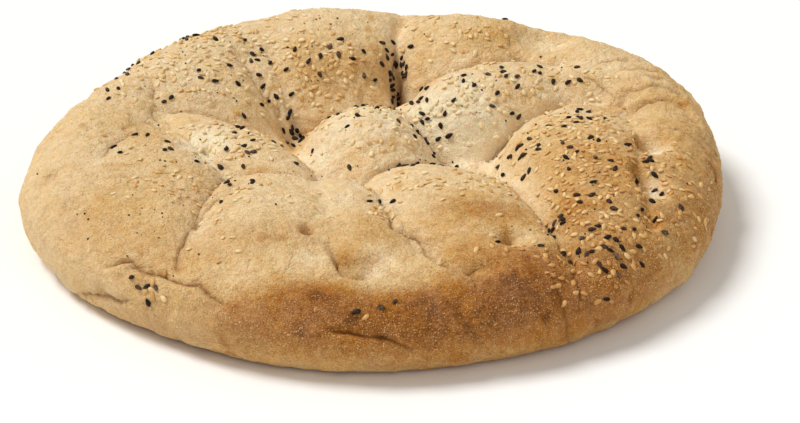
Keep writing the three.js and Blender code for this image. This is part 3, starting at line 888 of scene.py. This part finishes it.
def lay_drops(name, shape, places, size, spread, sink, tilt, tone, draws):
    """One mesh of drops laid flat on the crust, each with a tone from 0 to 1.

    The tone has a base, what the browning of the crust at the place adds, its painted shade included,
    and how much it strays.
    """
    points, faces = shape
    all_points, all_faces, tones = [], [], []
    for spot, facing, baked_and_painted_light in places:
        grow = 1 + draws.uniform(-spread, spread)
        long, wide, thick = (
            side * MM * grow * (1 + draws.uniform(-UNLIKE, UNLIKE)) for side in size
        )
        lean = facing + Vector([draws.uniform(-tilt, tilt) for axis in range(3)])
        stand = lean.normalized().to_track_quat("Z", "X").to_matrix()
        spin = Matrix.Rotation(draws.uniform(0, 2 * math.pi), 3, "Z")
        turned = np.array(stand @ spin)
        first = len(all_points) * len(points)
        scaled = points * np.array([long, wide, thick])
        all_points.append(scaled @ turned.T + np.array(spot + facing * thick * (0.5 - sink)))
        all_faces += [tuple(first + index for index in face) for face in faces]
        own_tone = tone[0] + tone[1] * baked_and_painted_light + draws.uniform(-tone[2], tone[2])
        tones += [own_tone] * len(points)
    mesh = bpy.data.meshes.new(name)
    mesh.from_pydata(np.concatenate(all_points).tolist(), [], all_faces)
    write_shade(mesh, "tone", tones)
    drops = bpy.data.objects.new(name, mesh)
    bpy.context.collection.objects.link(drops)
    drops.select_set(True)
    bpy.context.view_layer.objects.active = drops
    bpy.ops.object.shade_smooth()
    drops.select_set(False)
    return drops


# Patches of sesame: name, middle and half widths in mm, direction thrown, count.
SESAME_PATCHES = [
    ("back left top", (-80, 58, 40), (20, 14), DOWN, 90),
    ("back left rim", (-70, 84, 40), (22, 14), DOWN, 70),
    ("back left edge", (-82, 92, 40), (22, 12), DOWN, 20),
    ("back middle top", (-36, 98, 40), (26, 14), DOWN, 20),
    ("back middle face", (-26, 70, 40), (18, 10), DOWN, 50),
    ("back middle foot", (-28, 56, 40), (14, 7), DOWN, 18),
    ("back middle, right", (-8, 66, 40), (10, 10), DOWN, 8),
    ("middle left, back edge", (-62, 10, 40), (20, 8), DOWN, 40),
    ("middle left", (-52, -6, 40), (16, 10), DOWN, 34),
    ("left", (-80, -44, 40), (16, 14), DOWN, 36),
    ("left, top", (-86, -12, 40), (18, 10), DOWN, 12),
    ("left rim", (-108, 30, 40), (10, 22), DOWN, 12),
    ("front left, top", (-48, -56, 40), (16, 12), DOWN, 16),
    ("front left", (-58, -84, 40), (12, 12), DOWN, 6),
    ("middle, top", (-6, 26, 40), (20, 8), DOWN, 40),
    ("middle, front", (2, 8, 40), (18, 12), DOWN, 34),
    ("middle, right", (14, 24, 40), (6, 12), DOWN, 16),
    ("back right", (42, 82, 40), (20, 16), DOWN, 34),
    ("back right, left side", (20, 96, 40), (8, 16), DOWN, 8),
    ("middle right, left", (30, 36, 40), (14, 10), DOWN, 34),
    ("middle right", (52, 36, 40), (22, 14), DOWN, 40),
    ("middle right, right", (82, 48, 40), (14, 10), DOWN, 26),
    ("right, back", (76, 0, 40), (18, 18), DOWN, 80),
    ("right, middle", (90, -28, 40), (18, 22), DOWN, 110),
    ("right, front", (76, -60, 40), (16, 18), DOWN, 46),
    ("right, outer", (104, -58, 40), (12, 22), DOWN, 40),
    ("front of the right", (86, -86, 40), (16, 14), DOWN, 50),
    ("far right", (120, -44, 40), (8, 20), DOWN, 30),
    ("front right, top", (18, -44, 40), (16, 10), DOWN, 34),
    ("front right, right", (46, -42, 40), (14, 12), DOWN, 30),
    ("front right crease", (0, -66, 40), (5, 4), DOWN, 10),
    ("front right, front", (44, -92, 40), (14, 8), DOWN, 10),
    ("seam", (68, -98, 30), (6, 8), DOWN, 8),
    ("low left", (-84, -130, 22), (4, 4), FROM_FRONT, 6),
    ("front wall", (-10, -130, 26), (10, 3), FROM_FRONT, 2),
    ("right front wall", (80, -130, 22), (12, 6), FROM_FRONT, 6),
    ("right wall", (140, -40, 26), (26, 5), FROM_RIGHT, 8),
]
draws = random.Random(41)
taken = []
SESAME_SIZE = (3.0, 2.05, 1.1)
SESAME_SPACING = 2.0
SESAME_TONE = (-0.05, 1.3, 0.38)
places = thrown_places(SESAME_PATCHES, SESAME_SPACING, taken, draws)
sesame = lay_drops(
    "sesame_seeds", drop_shape(around=10, along=6, tip=0.5), places, SESAME_SIZE,
    spread=0.14, sink=0.3, tilt=0.34, tone=SESAME_TONE, draws=draws,
)

# Hulled sesame, oily and pale, toasted more or less from seed to seed and flecked by it.
FLECK_SIZE = 1.11
FLECK_SHADE = 0.3
SESAME_SHADES = [(0.0, "#efd9ab"), (0.35, "#e8c68a"), (0.7, "#dbab64"), (1.0, "#c58c48")]
material, tree = new_material("toasted_hulled_sesame")
place = add_node(tree, "ShaderNodeTexCoord").outputs["Object"]
tone = add_node(tree, "ShaderNodeAttribute", {"attribute_name": "tone"}).outputs["Fac"]
flecks = add_node(tree, "ShaderNodeTexNoise", Vector=place, Scale=per_metre(FLECK_SIZE), Detail=2)
centred = add_node(tree, MATH, MINUS, i0=flecks, i1=0.5)
shade = add_node(tree, MATH, TIMES_PLUS, i0=centred, i1=FLECK_SHADE, i2=tone)
shades = add_node(tree, "ShaderNodeValToRGB", Fac=shade)
set_shades(shades, SESAME_SHADES)
surface = add_node(tree, "ShaderNodeBsdfPrincipled", Base_Color=shades, Roughness=0.5)
add_node(tree, "ShaderNodeOutputMaterial", Surface=surface)
sesame.data.materials.append(material)
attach(sesame, "root")


# ---- Nigella seeds --------------------------------------------------------------------------
# Black nigella, drop-shaped like the sesame but plumper and dull, strewn with it. Broken bits of
# the seeds lie among the whole ones.
NIGELLA_PATCHES = [
    ("beside the middle", (-35, 48, 30), (5, 7), DOWN, 14),
    ("back middle face", (-24, 72, 40), (20, 12), DOWN, 18),
    ("back middle, left", (-50, 74, 40), (8, 10), DOWN, 4),
    ("back left", (-66, 56, 40), (22, 16), DOWN, 12),
    ("back left rim", (-86, 90, 40), (18, 8), DOWN, 8),
    ("back left edge", (-104, 70, 36), (8, 8), DOWN, 6),
    ("left rim", (-112, 40, 40), (8, 14), DOWN, 5),
    ("back crease", (7, 77, 40), (2.5, 8), DOWN, 20),
    ("back crease, right", (12, 79, 40), (2, 3), DOWN, 7),
    ("middle, top", (-8, 24, 40), (18, 10), DOWN, 10),
    ("middle, top edge", (-6, 36, 40), (16, 4), DOWN, 6),
    ("middle, right seam", (19, 30, 40), (5, 16), DOWN, 20),
    ("top of the front right", (12, -8, 40), (16, 4), DOWN, 14),
    ("middle right", (42, 36, 40), (20, 14), DOWN, 18),
    ("middle right, top", (72, 50, 40), (18, 8), DOWN, 8),
    ("right, left side", (60, -8, 40), (10, 16), DOWN, 16),
    ("right, back", (88, 8, 40), (14, 12), DOWN, 9),
    ("right", (88, -24, 40), (16, 20), DOWN, 14),
    ("right, lower", (84, -56, 40), (14, 14), DOWN, 10),
    ("foot of the seam", (68, -70, 40), (4, 5), DOWN, 8),
    ("front of the right", (84, -88, 40), (12, 9), DOWN, 18),
    ("far right", (112, -44, 40), (8, 24), DOWN, 9),
    ("middle left", (-50, -2, 40), (16, 10), DOWN, 12),
    ("middle left, foot", (-60, -22, 40), (8, 6), DOWN, 5),
    ("left", (-84, -14, 40), (16, 12), DOWN, 8),
    ("front left", (-54, -44, 40), (14, 10), DOWN, 5),
    ("front crease", (-2, -58, 40), (4, 4), DOWN, 3),
    ("front right", (52, -90, 40), (12, 3), DOWN, 2),
    ("back right", (48, 106, 40), (16, 12), DOWN, 4),
    ("low left", (-86, -130, 23), (4, 3), FROM_FRONT, 5),
    ("front wall", (-8, -130, 26), (8, 3), FROM_FRONT, 3),
    ("right front wall", (92, -130, 24), (10, 5), FROM_FRONT, 5),
]
CRUMB_PATCHES = [
    ("left", (-88, -60, 40), (26, 26), DOWN, 26),
    ("middle left", (-60, -14, 40), (24, 18), DOWN, 26),
    ("back left", (-70, 60, 40), (30, 26), DOWN, 26),
    ("back middle", (-24, 78, 40), (24, 20), DOWN, 26),
    ("middle", (0, 22, 40), (26, 24), DOWN, 30),
    ("middle right", (50, 40, 40), (30, 20), DOWN, 30),
    ("right", (86, -30, 40), (24, 40), DOWN, 40),
    ("front of the right", (88, -92, 40), (20, 14), DOWN, 16),
]
NIGELLA_SIZE = (3.2, 2.05, 1.4)
NIGELLA_SPACING = 1.9
NIGELLA_TONE = (0.3, 0.2, 0.42)
CRUMB_SIZE = (0.9, 0.7, 0.6)
CRUMB_SPACING = 1.2
CRUMB_TONE = (0.5, 0.0, 0.5)
places = thrown_places(NIGELLA_PATCHES, NIGELLA_SPACING, taken, draws)
nigella = lay_drops(
    "nigella_seeds", drop_shape(around=10, along=6, tip=0.55), places, NIGELLA_SIZE,
    spread=0.12, sink=0.25, tilt=0.3, tone=NIGELLA_TONE, draws=draws,
)
places = thrown_places(CRUMB_PATCHES, CRUMB_SPACING, taken, draws)
crumbs = lay_drops(
    "nigella_crumbs", drop_shape(around=6, along=4, tip=0.3), places, CRUMB_SIZE,
    spread=0.35, sink=0.2, tilt=0.8, tone=CRUMB_TONE, draws=draws,
)

# Black nigella seed coat: dry and finely pitted, with a dull sheen, and lighter grey-brown flecks of
# painted sheen where the pits lift its tone.
PIT_SIZE = 0.909
PIT_PAINTED_SHEEN = 1.2
PIT_DEPTH = 0.2
NIGELLA_COAT_AND_PAINTED_SHEEN = [(0.0, "#21150e"), (0.55, "#35241a"), (0.85, "#5c4a3c"), (1.0, "#85705c")]
material, tree = new_material("nigella_seed_coat")
place = add_node(tree, "ShaderNodeTexCoord").outputs["Object"]
tone = add_node(tree, "ShaderNodeAttribute", {"attribute_name": "tone"}).outputs["Fac"]
pits = add_node(tree, "ShaderNodeTexNoise", Vector=place, Scale=per_metre(PIT_SIZE), Detail=3)
# Painted sheen: the pits lift the tone into lighter grey-brown flecks.
centred = add_node(tree, MATH, MINUS, i0=pits, i1=0.5)
shade = add_node(tree, MATH, TIMES_PLUS, i0=centred, i1=PIT_PAINTED_SHEEN, i2=tone)
shades = add_node(tree, "ShaderNodeValToRGB", Fac=shade)
set_shades(shades, NIGELLA_COAT_AND_PAINTED_SHEEN)
relief = add_node(tree, "ShaderNodeBump", Strength=0.4, Distance=PIT_DEPTH * MM, Height=pits)
surface = add_node(
    tree, "ShaderNodeBsdfPrincipled", Base_Color=shades, Roughness=0.55, Specular_IOR_Level=0.15,
    Normal=relief,
)
add_node(tree, "ShaderNodeOutputMaterial", Surface=surface)
for piece in (nigella, crumbs):
    piece.data.materials.append(material)
    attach(piece, "root")


# ---- Semolina -------------------------------------------------------------------------------
# Grains of the semolina that the dough was dusted with, thickest where it was handled: on the
# wall, the rim and the front. They are stuck to the crust.
SEMOLINA_PATCHES = [
    ("front wall", (0, -130, 22), (70, 10), FROM_FRONT, 1800),
    ("front rim", (0, -112, 40), (70, 12), DOWN, 1800),
    ("right front", (86, -90, 40), (26, 20), DOWN, 1500),
    ("right wall", (140, -30, 22), (60, 12), FROM_RIGHT, 1300),
    ("right lobe", (90, -30, 40), (26, 40), DOWN, 1200),
    ("left", (-100, -50, 40), (26, 40), DOWN, 1300),
    ("left rim", (-108, 30, 40), (16, 40), DOWN, 600),
    ("back rim", (-20, 110, 40), (80, 12), DOWN, 600),
    ("back right rim", (104, 60, 40), (20, 26), DOWN, 700),
    ("front left", (-44, -70, 40), (26, 24), DOWN, 900),
    ("front right", (30, -60, 40), (26, 26), DOWN, 700),
]
SEMOLINA_SIZE = (0.52, 0.44, 0.34)
SEMOLINA_TONE = (-0.06, 0.8, 0.2)
places = thrown_places(SEMOLINA_PATCHES, 0, [], draws)
semolina = lay_drops(
    "semolina_grains", drop_shape(around=4, along=3, tip=0.0), places, SEMOLINA_SIZE,
    spread=0.4, sink=0.3, tilt=0.8, tone=SEMOLINA_TONE, draws=draws,
)

# Toasted durum semolina: hard glassy grains, cream to pale gold, browned with the crust.
material, tree = new_material("toasted_semolina")
tone = add_node(tree, "ShaderNodeAttribute", {"attribute_name": "tone"}).outputs["Fac"]
shades = add_node(tree, "ShaderNodeValToRGB", Fac=tone)
set_shades(shades, CRUST_SHADES)
surface = add_node(tree, "ShaderNodeBsdfPrincipled", Base_Color=shades, Roughness=0.55)
add_node(tree, "ShaderNodeOutputMaterial", Surface=surface)
semolina.data.materials.append(material)
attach(semolina, "root")


# ---- Floor, light and camera ----------------------------------------------------------------
# A plain pale floor in soft light from above and behind on the left.
FLOOR_SIZE = 6
bpy.ops.mesh.primitive_plane_add(size=FLOOR_SIZE)
floor = bpy.context.active_object
floor.name = "floor"
material, tree = new_material("pale_floor")
surface = add_node(tree, "ShaderNodeBsdfPrincipled", Base_Color=linear("#fafaf8"), Roughness=0.9)
add_node(tree, "ShaderNodeOutputMaterial", Surface=surface)
floor.data.materials.append(material)

KEY_PLACE = Vector((-0.8, 0.3, 1.25))
KEY_STRENGTH = 2.4
KEY_SPREAD = math.radians(25)
bpy.ops.object.light_add(type="SUN", location=KEY_PLACE)
key = bpy.context.active_object
key.name = "key"
key.data.energy = KEY_STRENGTH
key.data.angle = KEY_SPREAD
key.rotation_euler = KEY_PLACE.to_track_quat("Z", "Y").to_euler()

FILL_PLACE = Vector((0.5, -1.3, 0.9))
FILL_SIZE = 1.4
FILL_STRENGTH = 4
bpy.ops.object.light_add(type="AREA", location=FILL_PLACE)
fill = bpy.context.active_object
fill.name = "fill"
fill.data.size = FILL_SIZE
fill.data.energy = FILL_STRENGTH
fill.rotation_euler = FILL_PLACE.to_track_quat("Z", "Y").to_euler()

SKY_COLOUR = (1, 0.965, 0.91, 1)
SKY_STRENGTH = 0.42
world = bpy.data.worlds.new("soft_sky")
bpy.context.scene.world = world
world.use_nodes = True
sky = world.node_tree.nodes["Background"]
sky.inputs["Color"].default_value = SKY_COLOUR
sky.inputs["Strength"].default_value = SKY_STRENGTH
bpy.context.scene.view_settings.view_transform = "Standard"

CAMERA_PLACE = Vector((-1.85, -892.6, 463.4)) * MM
CAMERA_AIM = Vector((9.9, -42.6, 25)) * MM
IMAGE_WIDTH = 800
FOCAL_PIXELS = 2434
SENSOR_WIDTH = 36
bpy.ops.object.camera_add(location=CAMERA_PLACE)
camera = bpy.context.active_object
camera.data.sensor_width = SENSOR_WIDTH
camera.data.lens = SENSOR_WIDTH * FOCAL_PIXELS / IMAGE_WIDTH
camera.rotation_euler = (CAMERA_AIM - CAMERA_PLACE).to_track_quat("-Z", "Y").to_euler()
bpy.context.scene.camera = camera
